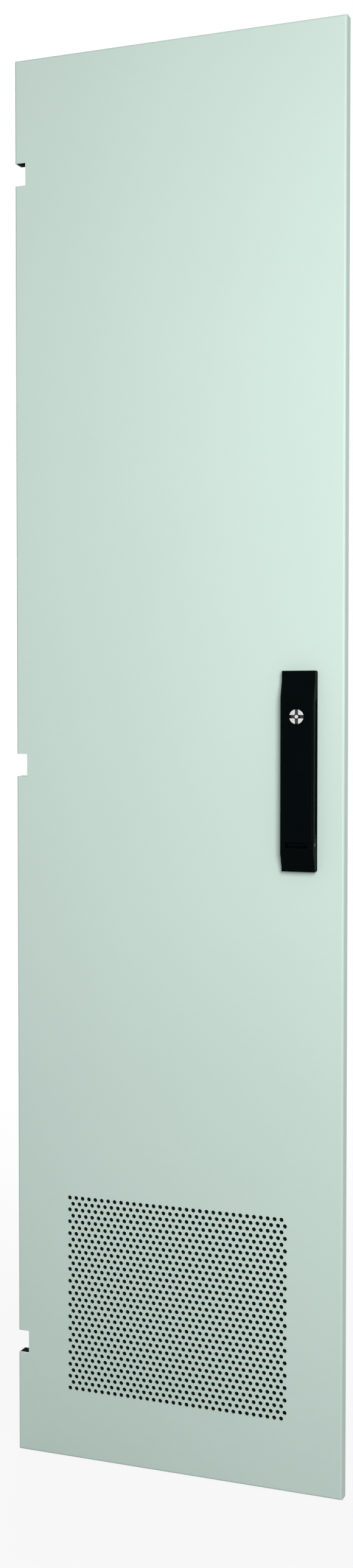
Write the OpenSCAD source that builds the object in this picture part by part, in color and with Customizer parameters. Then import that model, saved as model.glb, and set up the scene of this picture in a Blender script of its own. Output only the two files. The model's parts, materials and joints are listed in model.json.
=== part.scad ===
// Ventilated sheet-steel door for a rack or switchgear cabinet.
// A folded leaf with three hinge notches, a field of round vent holes backed by a filter,
// a lever handle with a key lock, and a rack-and-pinion lock that drives two rods and a cam.
//
// Inside the modules x runs from the door's upright centre line towards the handle side,
// y from the front face towards the cabinet, and z up from the lower edge.
// hung() then shifts everything so that the origin is at the lower hinge's screw pair.

/* [Door leaf] */
// Width of the leaf
door_w = 490; // [470:5:560]
// Height of the leaf
door_h = 2000; // [1940:10:2200]
// Depth of the folded edge
edge_d = 20; // [19:0.5:22]
// Thickness of the sheet
sheet_t = 1.5; // [1.2:0.1:2]
// Outer radius of every bend
bend_r = 3; // [2.5:0.25:4]
// Width of the lip behind the edge
lip_w = 15; // [13:0.5:15]

/* [Hinge seats] */
// How far a hinge notch cuts in from the edge
notch_w = 16.5; // [15.5:0.5:18]
// Height of a hinge notch
notch_h = 32; // [26:1:40]
// Distance of the outer hinges from the ends of the leaf
hinge_end = 160; // [120:5:200]
// Diameter of a hinge screw hole in the lip
hinge_hole_d = 5.3; // [4.3:0.1:5.5]
// Spacing of the two screw holes of one hinge
hinge_pitch = 56; // [50:1:70]
// Distance of the screw holes from the edge of the leaf
hinge_in = 9; // [8:0.5:9.5]

/* [Vent holes] */
// Width of the perforated field
vent_w = 338; // [280:2:340]
// Height of the perforated field
vent_h = 290; // [240:2:330]
// Height of the middle of the field above the lower edge
vent_z = 240; // [230:5:260]
// Diameter of a vent hole
vent_d = 6; // [4:0.25:6.5]
// Spacing of the vent holes along a row
vent_pitch = 10; // [9.5:0.25:12]

/* [Filter] */
// Width of the filter frame's border outside the mat
rim_w = 10; // [9:0.5:11]
// How far the frame laps over the mat
rim_lap = 8; // [6:0.5:12]
// Margin of the mat round the perforated field
mat_margin = 2; // [1:0.5:3]
// Thickness of the filter mat
mat_t = 4; // [3:0.5:6]
// Thickness of the filter frame
rim_t = 1.2; // [1:0.1:1.5]
// Width of the two bars across the mat
mat_bar_w = 12; // [8:1:20]

/* [Seal] */
// Width of the foam seal
seal_w = 10; // [8:0.5:10]
// Thickness of the foam seal
seal_t = 8; // [6:0.5:10]
// Gap between the lip and the seal
seal_gap = 1.5; // [1:0.25:2]

/* [Stiffeners] */
// Width of the upright rail over its flanges
rail_w = 30; // [28:0.5:30]
// Width of a stiffener's raised crown
crown_w = 14; // [12:0.5:15]
// Height of the stiffeners
hat_h = 14; // [12:0.5:16]
// Gap from the seal to the upright rail
rail_gap = 2.5; // [1.5:0.25:3]
// Distance of the rail's upper end from the upper edge of the leaf
rail_end = 62; // [50:1:90]
// Gap from the filter frame to the rail's lower end
rail_above = 23; // [10:1:60]
// Spacing of the holes along the rail
rail_pitch = 25; // [20:1:50]
// Diameter of the holes in the rail
rail_hole_d = 4.8; // [4:0.1:6]
// Height of the lower cross stiffener above the lower edge
cross_low = 450; // [430:5:600]
// Height of the middle cross stiffener above the lower edge
cross_mid = 1290; // [1200:5:1320]
// Height of the upper cross stiffener above the lower edge
cross_high = 1660; // [1500:5:1800]
// Width of a cross stiffener over its flanges
cross_w = 40; // [34:1:50]

/* [Handle] */
// Distance of the handle's axis from the edge of the leaf
handle_in = 61; // [60:0.5:64]
// Height of the handle's lower end above the lower edge
handle_z = 860; // [800:5:920]
// Length of the handle
handle_l = 272; // [262:1:300]
// Width of the handle
handle_w = 47; // [45:0.5:49]
// Thickness of the handle's base plate
base_t = 4; // [3.5:0.25:5]
// How far the grip stands out from the door
grip_d = 20.5; // [20:0.25:23]
// How far the two ends of the handle stand out
tip_d = 12; // [11:0.25:14]
// Length of the slopes between the ends and the grip
slope_l = 34; // [28:1:36]
// Wall of the lever
lever_t = 3; // [2.5:0.25:3.5]
// Radius of the lever's long front edges
lever_r = 3; // [1.5:0.25:4]
// Height of the finger gap behind the lever
finger_gap = 6.2; // [5.8:0.2:6.6]
// Diameter of the lever's hinge pin
pin_d = 5; // [4:0.25:5.5]
// Height of the spindle above the handle's lower end
spindle_up = 20; // [19:0.5:21]
// Height of the hinge pin above the spindle
pin_up = 17; // [16.5:0.25:19]

/* [Key lock] */
// Distance of the key lock below the handle's upper end
lock_down = 62; // [56:1:64]
// Diameter of the lock's housing
lock_d = 24; // [22:0.5:26]
// Diameter of the turning plug
plug_d = 20; // [18:0.5:20.5]
// Diameter of the key well
well_d = 7.6; // [7:0.2:8]
// Diameter of the pin in the key well
key_pin_d = 5; // [4:0.25:5.5]
// Width of the four key slots
slot_w = 4.6; // [4:0.2:5]
// Length of the locking cam from the plug's axis
cam_l = 13; // [12.5:0.25:13.5]

/* [Rod lock] */
// Module of the teeth
tooth_m = 1.25; // [1.25:0.05:1.3]
// Number of teeth on the pinion
pinion_n = 16; // [15:1:16]
// Width of the teeth
tooth_w = 6; // [5:0.5:6.5]
// Number of teeth on a rack
rack_n = 9; // [8:1:9]
// Thickness of a rod
rod_t = 3; // [2.5:0.25:3.5]
// Width of a rod
rod_w = 14; // [12:0.5:14]
// Distance of the rod ends from the ends of the leaf
rod_end = 16; // [14:1:24]
// Distance of the highest rod guide from the upper edge of the leaf
guide_high = 110; // [90:5:200]
// Distance of the second rod guide from the upper edge of the leaf
guide_upper = 640; // [500:10:700]
// Height of the third rod guide above the lower edge
guide_lower = 620; // [560:10:700]
// Gap from the filter frame to the lowest rod guide
guide_above = 5; // [3:1:40]
// Gap between the back of the lips and the rods
rod_gap = 2.5; // [2.5:0.25:3.5]
// Half the height of the lock case
case_half = 58; // [56:1:64]
// Width of the lock case
case_w = 50; // [49:0.5:52]
// Length of the latch cam from the spindle
latch_l = 52; // [46:1:56]

/* [Hidden] */

$fn = 48;
over = 1;          // how far a cutting solid runs past what it cuts
play = 0.1;        // gap between a piece and the one that it lies against
fit = 0.05;        // radial play of a turning fit
plate_gap = 0.4;   // gap between the handle's moving pieces and its base plate

// Leaf
left = -door_w / 2;
right = door_w / 2;
hinge_z = [hinge_end, door_h / 2, door_h - hinge_end];

// Vent field, in rows that are half a pitch apart
row_pitch = vent_pitch * sin(60);
vent_cols = floor((vent_w - vent_d - vent_pitch / 2) / vent_pitch) + 1;
vent_rows = floor((vent_h - vent_d) / row_pitch) + 1;

// Filter
mat_w = vent_w + 2 * mat_margin;
mat_h = vent_h + 2 * mat_margin;
rim_out_w = mat_w + 2 * rim_w;
rim_out_h = mat_h + 2 * rim_w;
rim_y = sheet_t + mat_t + play;
filter_top = vent_z + rim_out_h / 2;
stud_d = 4;
nut_s = 7;
nut_t = 3.2;
stud_in = rim_w / 2 + 0.5;      // from the frame's outer edge to a stud
filter_points = [for (x = [-1, 1], z = [-1, 0, 1])
  [x * (rim_out_w / 2 - stud_in), vent_z + z * (rim_out_h / 2 - stud_in)]];

// Seal and stiffeners
seal_in = lip_w + seal_gap;
rail_x = left + seal_in + seal_w + rail_gap + rail_w / 2;
rail_low = filter_top + rail_above;
rail_l = door_h - rail_end - rail_low;
rail_holes = floor((rail_l - rail_pitch) / rail_pitch);
hat_t = 1.5;
hat_r = 2.5;       // outer radius of the bends beside the crown
cross_z = [cross_low, cross_mid, cross_high];
cross_gap = 3;     // from the upright rail to a cross stiffener
weld_gap = 0.05;   // the spot welds keep a cross stiffener this far off the leaf
guide_clear = 6;   // from a cross stiffener to a rod guide

// Earth stud
earth_x = -120;
earth_z = 52;
earth_d = 6;
earth_l = 14;

// Rubber buffers in the lip on the handle side
buffer_in = lip_w / 2 + 1;
buffer_neck = 4;
buffer_end = 70;   // from the ends of the leaf
buffer_z = [buffer_end, door_h - buffer_end];

// Handle
handle_x = right - handle_in;
handle_top = handle_z + handle_l;
spindle_z = handle_z + spindle_up;
pin_z = spindle_z + pin_up;
pin_y = -(base_t + 6);
knuckle_r = grip_d - base_t - 6 - 0.3;   // outside radius of the hub's knuckles
knuckle_gap = 0.8;                       // gap between the knuckles and the lever's end
lever_back = -(base_t + plate_gap);
ear_w = 8;
tongue_w = handle_w - 2 * ear_w - 0.6;
collar_r = 10;
spindle_s = 8;
lock_z = handle_top - lock_down;
gap_low_in = 16;                         // from the hinge pin to the finger gap
gap_high_in = 19;                        // from the lock to the finger gap's upper end
gap_low = pin_z + gap_low_in;
gap_high = lock_z + gap_high_in;
recess_in = 6.5;                         // from the base plate's edge to its recess
recess_low = gap_low + 6;
recess_high = lock_z - 20;
recess_t = 2;

// Base plate's bosses, which pass through the leaf
boss_d = 10;
thread_d = 4.2;
case_boss = [12, case_half - 10];        // from the spindle to the case's upper screw
base_boss_z = handle_top - 17;
base_washer_d = 18;
base_washer_hole = 5.3;
base_washer_t = 1.5;
screw_head_d = 8.5;
screw_head_t = 3;
case_points = [case_boss, -case_boss];
cover_points = [for (x = [-1, 1], z = [-1, 1]) [x * (case_w / 2 - 3.1), z * (case_half - 6)]];

// Key lock
lock_front = -(grip_d + 0.8);
lock_back = -(base_t + 7);
cam_t = 1.5;
cam_y = -(base_t + 3.6);                 // front face of the locking cam
tail_r = 3.5;
slot_deep = 5;

// Rod lock, measured from the spindle
pitch_r = tooth_m * pinion_n / 2;
pressure = 20;                           // pressure angle of the teeth
backlash = 0.12;
dedendum = 1.25 * tooth_m;
tip_r = pitch_r + tooth_m;
root_r = pitch_r - dedendum;
base_r = pitch_r * cos(pressure);
flank_low = max(base_r, root_r);
tooth_steps = [for (i = [0 : 4]) flank_low + i * (tip_r - flank_low) / 4];
rod_y = edge_d + rod_gap;                // front face of the rods
gear_y = rod_y + rod_t - tooth_w;        // front face of the racks and the pinion
cover_t = 2;
cover_y = rod_y + rod_t + 0.5;           // front face of the cover
trough_y = gear_y - 0.3;                 // bottom of the case's trough
rack_back = pitch_r + 8.5;               // from the spindle to the back of a rack
rod_u = rack_back - rod_w / 2;           // from the spindle to the middle of a rod
tooth_p = PI * tooth_m;
rack_low = -(rack_n * tooth_p / 2 - 5);
// shifts the rack's teeth so that one of them stands level with the spindle
rack_shift = (round(rack_low / tooth_p + 0.5) - rack_low / tooth_p - 0.5) * tooth_p;
lap_end = case_half - 8;
lap_l = 20;                              // how far a rod laps over its rack
lap_start = lap_end - lap_l;             // where a rack thins to take the rod
rivet_u = rack_back - 3.5;
rivet_w = (lap_start + lap_end) / 2;
journal_r = 6;
latch_t = 3;
latch_w = 18;
latch_hub_d = 24;
latch_y = cover_y + cover_t + 0.4;
spindle_back = latch_y + latch_t;
washer_t = 1.2;

// Rods
upper_x = handle_x - rod_u;
lower_x = handle_x + rod_u;
upper_len = door_h - rod_end - spindle_z;
lower_len = spindle_z - rod_end;
tip_l = 26;
guide_w = 24;
guide_h = 22;
guide_foot = 48;
guide_back = rod_y + rod_t + 3.5;
guide_stud_d = 5;
guide_stud_up = 17.5;
guide_stud_l = 10;
guide_foot_t = 4;
guide_wall = 4;
guide_nut_s = 8;
guide_nut_t = 4;
rod_play = 0.4;    // from a rod to its guide, all round
stud_play = 0.2;   // from a stud to the hole round it
guides = [[upper_x, door_h - guide_high], [upper_x, door_h - guide_upper],
          [lower_x, guide_lower], [lower_x, filter_top + guide_above + guide_foot / 2]];

// ---------------------------------------------------------------- helpers

// Shifts the door so that the origin is at the lower hinge's screw pair.
module hung() {
  translate([-(left + hinge_in), -edge_d, -hinge_end]) children();
}

// A rectangle with rounded corners, its lower left corner at the origin.
module round_rect(a, b, r) {
  translate([r, 0]) square([a - 2 * r, b]);
  translate([0, r]) square([a, b - 2 * r]);
  for (x = [r, a - r], y = [r, b - r])
    translate([x, y]) circle(r);
}

// Extrudes a profile drawn in [y, z] along x, centred on x = 0.
module across(w) {
  rotate([90, 0, 90]) translate([0, 0, -w / 2]) linear_extrude(w) children();
}

// Extrudes a profile drawn in [x, y] upwards from z to z + h.
module upright(z, h) {
  translate([0, 0, z]) linear_extrude(h) children();
}

// A round bar along y from y0 to y1.
module bar_y(d, y0, y1) {
  translate([0, y0, 0]) rotate([-90, 0, 0]) cylinder(d = d, h = y1 - y0);
}

// A hexagonal nut along y with its hole, across flats s.
module hex_nut(s, d, y0, t) {
  difference() {
    translate([0, y0, 0]) rotate([-90, 0, 0]) cylinder(d = s / cos(30), h = t, $fn = 6);
    bar_y(d, y0 - over, y0 + t + over);
  }
}

// A plain washer along y.
module flat_washer(d_out, d_in, y0, t) {
  difference() {
    bar_y(d_out, y0, y0 + t);
    bar_y(d_in, y0 - over, y0 + t + over);
  }
}

// A box with rounded bends along all its long edges, its front lower left corner at the origin.
module folded_box(w, d, h, r) {
  intersection() {
    linear_extrude(h) round_rect(w, d, r);
    rotate([90, 0, 90]) linear_extrude(w) round_rect(d, h, r);
  }
}

// ---------------------------------------------------------------- leaf

// The vent holes, as rods along y.
module vent_holes() {
  for (j = [0 : vent_rows - 1], i = [0 : vent_cols - 1])
    translate([(i - (vent_cols - 1) / 2 + (j % 2) / 2 - 0.25) * vent_pitch, 0,
               vent_z + (j - (vent_rows - 1) / 2) * row_pitch])
      bar_y(vent_d, -over, sheet_t + over, $fn = 16);
}

// The folded tray: face, four returns and four lips, with closed corners.
module tray() {
  translate([left, 0, 0])
    difference() {
      folded_box(door_w, edge_d, door_h, bend_r);
      translate([sheet_t, sheet_t, sheet_t])
        folded_box(door_w - 2 * sheet_t, edge_d - 2 * sheet_t, door_h - 2 * sheet_t,
                   bend_r - sheet_t);
      translate([lip_w, edge_d / 2, lip_w])
        cube([door_w - 2 * lip_w, edge_d, door_h - 2 * lip_w]);
    }
}

module door_panel() {
  hung() color([0.80, 0.87, 0.84])
    difference() {
      tray();
      for (z = hinge_z) {
        translate([left - over, -over, z - notch_h / 2])
          cube([notch_w + over, edge_d + 2 * over, notch_h]);
        for (s = [-1, 1])
          translate([left + hinge_in, 0, z + s * hinge_pitch / 2])
            bar_y(hinge_hole_d, edge_d / 2, edge_d + over);
      }
      vent_holes();
      // spindle, handle bosses and corner buffers
      translate([handle_x, 0, spindle_z]) bar_y(2 * collar_r + 6, -over, sheet_t + over);
      translate([handle_x + case_boss[0], 0, spindle_z + case_boss[1]])
        bar_y(boss_d + 0.4, -over, sheet_t + over);
      translate([handle_x, 0, base_boss_z]) bar_y(boss_d + 0.4, -over, sheet_t + over);
      for (z = buffer_z)
        translate([right - buffer_in, 0, z]) bar_y(buffer_neck + 0.2, edge_d / 2, edge_d + over);
    }
}

module foam_seal() {
  hung() color([0.10, 0.10, 0.11])
    translate([left + seal_in, sheet_t, seal_in])
      rotate([90, 0, 0]) mirror([0, 0, 1])
        linear_extrude(seal_t)
          difference() {
            round_rect(door_w - 2 * seal_in, door_h - 2 * seal_in, 4);
            translate([seal_w, seal_w])
              round_rect(door_w - 2 * (seal_in + seal_w), door_h - 2 * (seal_in + seal_w), 2);
          }
}

// ---------------------------------------------------------------- stiffeners

// A hat section drawn in [u, y]: two flanges on the leaf and a raised crown with round bends.
module hat_profile(w) {
  difference() {
    intersection() {
      union() {
        translate([-w / 2, 0]) square([w, hat_t]);
        translate([-crown_w / 2, -hat_h]) round_rect(crown_w, 2 * hat_h, hat_r);
      }
      translate([-w / 2, 0]) square([w, hat_h]);
    }
    translate([-crown_w / 2 + hat_t, -hat_h])
      round_rect(crown_w - 2 * hat_t, 2 * hat_h - hat_t, hat_r - hat_t);
  }
}

module upright_rail() {
  hung() color([0.72, 0.74, 0.75])
    translate([rail_x, sheet_t, rail_low])
      difference() {
        linear_extrude(rail_l) hat_profile(rail_w);
        for (i = [0 : rail_holes])
          translate([0, 0, rail_l / 2 + (i - rail_holes / 2) * rail_pitch])
            bar_y(rail_hole_d, hat_h / 2, hat_h + over);
      }
}

// One cross stiffener, from the upright rail towards the upper rod.
module cross_stiffener(i) {
  x0 = rail_x + rail_w / 2 + cross_gap;
  x1 = upper_x - guide_w / 2 - guide_clear;
  hung() color([0.72, 0.74, 0.75])
    translate([x0, sheet_t + weld_gap, cross_z[i]])
      rotate([90, 0, 90]) linear_extrude(x1 - x0) rotate(-90) mirror([1, 0]) hat_profile(cross_w);
}

// ---------------------------------------------------------------- filter

module filter_mat() {
  hung() color([0.05, 0.05, 0.05])
    translate([-mat_w / 2, sheet_t + play / 2, vent_z - mat_h / 2]) cube([mat_w, mat_t, mat_h]);
}

// A flat frame over the mat's edge, with a rim folded down to the leaf and two bars.
module filter_frame() {
  inner_w = mat_w - 2 * rim_lap;
  inner_h = mat_h - 2 * rim_lap;
  bay = (inner_w - 2 * mat_bar_w) / 3;
  hung() color([0.72, 0.74, 0.75])
    translate([0, 0, vent_z])
      difference() {
        translate([-rim_out_w / 2, sheet_t, -rim_out_h / 2])
          cube([rim_out_w, mat_t + play + rim_t, rim_out_h]);
        // hollow for the mat, between the folded rims
        translate([-rim_out_w / 2 + rim_t, sheet_t - over, -rim_out_h / 2 + rim_t])
          cube([rim_out_w - 2 * rim_t, mat_t + play + over, rim_out_h - 2 * rim_t]);
        // three windows
        for (i = [-1, 0, 1])
          translate([i * (bay + mat_bar_w) - bay / 2, rim_y - over, -inner_h / 2])
            cube([bay, rim_t + 2 * over, inner_h]);
        for (p = filter_points)
          translate([p[0], 0, p[1] - vent_z])
            bar_y(stud_d + 0.5, rim_y - over, rim_y + rim_t + over);
      }
}

module filter_studs() {
  hung() color([0.75, 0.76, 0.78])
    for (p = filter_points)
      translate([p[0], 0, p[1]]) bar_y(stud_d, sheet_t, rim_y + rim_t + nut_t + 2);
}

module filter_nuts() {
  hung() color([0.78, 0.79, 0.80])
    for (p = filter_points)
      translate([p[0], 0, p[1]]) hex_nut(nut_s, stud_d + play, rim_y + rim_t, nut_t);
}

// ---------------------------------------------------------------- earth point and buffers

module earth_stud() {
  hung() color([0.80, 0.65, 0.35])
    translate([earth_x, 0, earth_z]) bar_y(earth_d, sheet_t, sheet_t + earth_l);
}

module earth_washer() {
  hung() color([0.78, 0.79, 0.80])
    translate([earth_x, 0, earth_z]) flat_washer(12, earth_d + 0.4, sheet_t, 1.6);
}

module earth_nut() {
  hung() color([0.80, 0.65, 0.35])
    translate([earth_x, 0, earth_z]) hex_nut(10, earth_d + play, sheet_t + 1.6, 5);
}

// A rubber buffer pressed into the lip: a head behind it, a neck and a bead in front.
module corner_buffer(i) {
  hung() color([0.10, 0.10, 0.11])
    translate([right - buffer_in, 0, buffer_z[i]])
      rotate([-90, 0, 0])
        rotate_extrude()
          polygon([[0, edge_d - sheet_t - 2.5], [1.4, edge_d - sheet_t - 2.5],
                   [2.9, edge_d - sheet_t - play], [buffer_neck / 2, edge_d - sheet_t - play],
                   [buffer_neck / 2, edge_d + play], [5, edge_d + play],
                   [5, edge_d + 3], [4, edge_d + 4], [0, edge_d + 4]]);
}

// ---------------------------------------------------------------- handle

// The base plate, flat on the leaf, with two bosses through it and the lock's catch.
module handle_base() {
  hung() color([0.04, 0.05, 0.05])
    difference() {
      union() {
        translate([handle_x - handle_w / 2, -base_t, handle_z])
          rotate([90, 0, 0]) mirror([0, 0, 1])
            linear_extrude(base_t) round_rect(handle_w, handle_l, 2);
        translate([handle_x + case_boss[0], 0, spindle_z + case_boss[1]])
          bar_y(boss_d, -play, sheet_t - play);
        translate([handle_x, 0, base_boss_z]) bar_y(boss_d, -play, sheet_t - play);
        catch();
      }
      translate([handle_x, 0, spindle_z]) bar_y(2 * (collar_r + fit), -base_t - over, over);
      translate([handle_x + case_boss[0], 0, spindle_z + case_boss[1]])
        bar_y(thread_d, -base_t + 1, sheet_t + over);
      translate([handle_x, 0, base_boss_z]) bar_y(thread_d, -base_t + 1, sheet_t + over);
      // shallow recess for the fingertips
      translate([handle_x - handle_w / 2 + recess_in, -base_t - over, recess_low])
        cube([handle_w - 2 * recess_in, recess_t + over, recess_high - recess_low]);
    }
}

// The hooked catch that the locking cam turns under.
module catch() {
  post_x = cam_l + 1;
  hook_y = cam_y - 0.7 - 1.8;
  translate([handle_x, 0, lock_z]) {
    translate([post_x, hook_y, -6]) cube([2.5, -base_t - hook_y + play, 12]);
    translate([post_x - 6, hook_y, -6]) cube([6 + play, 1.8, 12]);
  }
}

module base_screw() {
  hung() color([0.75, 0.76, 0.78])
    translate([handle_x, 0, base_boss_z]) {
      bar_y(thread_d, -base_t + 1.5, sheet_t + base_washer_t);
      bar_y(screw_head_d, sheet_t + base_washer_t, sheet_t + base_washer_t + screw_head_t);
    }
}

module base_washer() {
  hung() color([0.78, 0.79, 0.80])
    translate([handle_x, 0, base_boss_z]) flat_washer(base_washer_d, base_washer_hole, sheet_t, base_washer_t);
}

// Side outline of the lower end of the handle, in [y, z].
module hub_outline() {
  intersection() {
    union() {
      polygon([[lever_back, handle_z], [-tip_d, handle_z], [-tip_d, handle_z + 6],
               [pin_y - knuckle_r, pin_z - 5], [pin_y - knuckle_r, pin_z], [lever_back, pin_z]]);
      translate([pin_y, pin_z]) circle(knuckle_r, $fn = 64);
    }
    translate([-2 * grip_d, handle_z]) square([2 * grip_d + lever_back, handle_l]);
  }
}

// The hub turns on the base plate and carries the lever's hinge pin in two ears.
module handle_hub() {
  hung() color([0.04, 0.05, 0.05])
    translate([handle_x, 0, 0])
      difference() {
        union() {
          intersection() {
            across(handle_w) hub_outline();
            front_rounding(handle_z, handle_l);
          }
          translate([0, 0, spindle_z]) bar_y(2 * collar_r, lever_back - play, sheet_t - 0.3);
        }
        // slot between the ears
        translate([-tongue_w / 2 - 0.3, pin_y, pin_z])
          rotate([0, 90, 0]) cylinder(r = knuckle_r + knuckle_gap, h = tongue_w + 0.6);
        translate([-handle_w, pin_y, pin_z])
          rotate([0, 90, 0]) cylinder(d = pin_d, h = 2 * handle_w);
        translate([-spindle_s / 2, -base_t - 6, spindle_z - spindle_s / 2])
          cube([spindle_s, 2 * base_t + 10, spindle_s]);
      }
}

// Rounds the long front edges of whatever it is intersected with.
module front_rounding(z, h) {
  upright(z, h)
    translate([-handle_w / 2, -grip_d]) {
      translate([lever_r, 0]) square([handle_w - 2 * lever_r, 2 * grip_d]);
      translate([0, lever_r]) square([handle_w, 2 * grip_d]);
      for (x = [lever_r, handle_w - lever_r]) translate([x, lever_r]) circle(lever_r);
    }
}

module spindle() {
  s = spindle_s - play;
  hung() color([0.70, 0.71, 0.72])
    difference() {
      translate([handle_x - s / 2, -base_t - 6 + play, spindle_z - s / 2])
        cube([s, spindle_back + base_t + 6 - play, s]);
      translate([handle_x, 0, spindle_z]) bar_y(thread_d, spindle_back - 10, spindle_back + over);
    }
}

module lever_pin() {
  hung() color([0.70, 0.71, 0.72])
    translate([handle_x - handle_w / 2 + 0.5, pin_y, pin_z])
      rotate([0, 90, 0]) cylinder(d = pin_d, h = handle_w - 1);
}

// Side outline of the lever, in [y, z].
module lever_outline() {
  polygon([[lever_back, pin_z], [-grip_d, pin_z], [-grip_d, handle_top - 12 - slope_l],
           [-tip_d, handle_top - 12], [-tip_d, handle_top], [lever_back, handle_top]]);
}

// The hollow behind the lever's front wall, in [y, z].
module lever_hollow() {
  polygon([[0, pin_z + knuckle_r + 9], [-grip_d + lever_t, pin_z + knuckle_r + 9],
           [-grip_d + lever_t, handle_top - 12 - slope_l],
           [-tip_d + lever_t, handle_top - 12], [-tip_d + lever_t, handle_top - lever_t],
           [0, handle_top - lever_t]]);
}

// The lever: a hollow grip with finger gaps in both sides, a hinge tongue and the lock's seat.
module lever() {
  rib_z = [for (i = [1 : 4]) gap_low + i * (lock_z - 18 - gap_low) / 5];
  hung() color([0.04, 0.05, 0.05])
    translate([handle_x, 0, 0])
      difference() {
        union() {
          difference() {
            intersection() {
              across(handle_w) lever_outline();
              front_rounding(pin_z, handle_l);
            }
            translate([-handle_w, pin_y, pin_z])
              rotate([0, 90, 0]) cylinder(r = knuckle_r + knuckle_gap, h = 2 * handle_w);
            across(handle_w - 2 * lever_t) lever_hollow();
            // finger gaps, with sloping ends
            across(handle_w + 2 * over)
              polygon([[over, gap_low - 6], [lever_back, gap_low - 6],
                       [-base_t - finger_gap, gap_low], [-base_t - finger_gap, gap_high],
                       [lever_back, gap_high + 6], [over, gap_high + 6]]);
          }
          tongue();
          // ribs behind the grip
          for (z = rib_z)
            translate([-handle_w / 2 + lever_t - play, -grip_d + lever_t - play, z - 0.75])
              cube([handle_w - 2 * lever_t + 2 * play, 5, 1.5]);
          // seat of the lock
          translate([0, 0, lock_z]) bar_y(lock_d + 5, -grip_d + lever_t - play, lock_back);
        }
        translate([0, 0, lock_z]) bar_y(lock_d + play, -grip_d - over, 0);
        translate([-handle_w, pin_y, pin_z])
          rotate([0, 90, 0]) cylinder(d = pin_d + 2 * fit, h = 2 * handle_w);
      }
}

// The tongue between the hub's ears, round the hinge pin.
module tongue() {
  r = 5.4;
  across(tongue_w) {
    translate([pin_y, pin_z]) circle(r);
    translate([pin_y - r, pin_z]) square([2 * r - 2, knuckle_r + knuckle_gap + 3]);
  }
}

// ---------------------------------------------------------------- key lock

module lock_housing() {
  hung() color([0.03, 0.05, 0.05])
    translate([handle_x, 0, lock_z])
      difference() {
        bar_y(lock_d, lock_front, lock_back);
        bar_y(plug_d + 2 * fit, lock_front - over, lock_back + over);
      }
}

// The plug, with a key well, a pin in its middle and four slots for the key's bits.
module lock_plug() {
  hung() color([0.70, 0.71, 0.71])
    translate([handle_x, 0, lock_z])
      difference() {
        union() {
          bar_y(plug_d, lock_front, lock_back);
          bar_y(2 * tail_r, lock_back - play, cam_y + cam_t);
        }
        difference() {
          union() {
            bar_y(well_d, lock_front - over, lock_back - 2);
            translate([-plug_d / 2 - over, lock_front - over, -slot_w / 2])
              cube([plug_d + 2 * over, slot_deep + over, slot_w]);
            translate([-slot_w / 2, lock_front - over, -plug_d / 2 - over])
              cube([slot_w, slot_deep + over, plug_d + 2 * over]);
          }
          bar_y(key_pin_d, lock_front - 2 * over, 0);
        }
        bar_y(2.5, cam_y - 3, cam_y + cam_t + over);
      }
}

// The flat locking cam on the plug's tail.
module lock_cam() {
  hung() color([0.75, 0.76, 0.78])
    translate([handle_x, 0, lock_z])
      difference() {
        union() {
          bar_y(12, cam_y, cam_y + cam_t);
          translate([-3.5, cam_y, 0]) cube([7, cam_t, cam_l]);
        }
        bar_y(2 * tail_r + play, cam_y - over, cam_y + cam_t + over);
      }
}

module cam_screw() {
  hung() color([0.75, 0.76, 0.78])
    translate([handle_x, 0, lock_z]) {
      bar_y(2.5 - play, cam_y - 2.5, cam_y + cam_t);
      bar_y(8.4, cam_y + cam_t, cam_y + cam_t + 1.1);
    }
}

// ---------------------------------------------------------------- rod lock

// The case: a block on the leaf with a trough for the racks and a bore for the pinion.
module lock_case() {
  hung() color([0.35, 0.36, 0.37])
    translate([handle_x, 0, spindle_z])
      difference() {
        translate([-case_w / 2, sheet_t, -case_half])
          cube([case_w, cover_y - sheet_t, 2 * case_half]);
        translate([-rack_back - 0.2, trough_y, -case_half - over])
          cube([2 * rack_back + 0.4, cover_y, 2 * (case_half + over)]);
        // pockets against the leaf, either side of the bore
        for (s = [-1, 1])
          translate([-case_w / 2 + 4, 0, s * (case_half / 2 - 2) - case_half / 4])
            cube([case_w - 8, trough_y - 3.5, case_half / 2]);
        bar_y(2 * (journal_r + fit), 0, cover_y);
        bar_y(2 * collar_r + 2, 0, trough_y - 6);
        for (p = case_points) translate([p[0], 0, p[1]]) bar_y(5.4, 0, cover_y);
        for (p = cover_points) translate([p[0], 0, p[1]]) bar_y(2.6, cover_y - 8, cover_y + over);
      }
  hung() color([0.35, 0.36, 0.37])
    translate([handle_x, 0, spindle_z])
      for (p = case_points) translate([p[0], 0, p[1]])
        difference() {
          bar_y(11, sheet_t, trough_y - 2);
          bar_y(5.4, 0, cover_y);
        }
}

// Two screws through the case: one into the handle's base, one into a stud on the leaf.
module case_screws() {
  hung() color([0.75, 0.76, 0.78])
    translate([handle_x, 0, spindle_z]) {
      translate([case_points[0][0], 0, case_points[0][1]]) {
        bar_y(thread_d, -base_t + 1.5, trough_y);
        bar_y(8.5, trough_y, trough_y + 3);
      }
      translate([case_points[1][0], 0, case_points[1][1]]) {
        bar_y(5, sheet_t, trough_y + 3);
        difference() {
          translate([0, trough_y, 0]) rotate([-90, 0, 0]) cylinder(d = 8 / cos(30), h = 2.7, $fn = 6);
          bar_y(4, trough_y - over, trough_y + 3);
        }
      }
    }
}

module case_cover() {
  hung() color([0.72, 0.74, 0.75])
    translate([handle_x, 0, spindle_z])
      difference() {
        translate([-case_w / 2, cover_y + cover_t, -case_half])
          rotate([90, 0, 0]) linear_extrude(cover_t) round_rect(case_w, 2 * case_half, 3);
        bar_y(2 * (journal_r + fit), cover_y - over, cover_y + cover_t + over);
        for (p = cover_points)
          translate([p[0], 0, p[1]]) bar_y(3.2, cover_y - over, cover_y + cover_t + over);
      }
}

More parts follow.
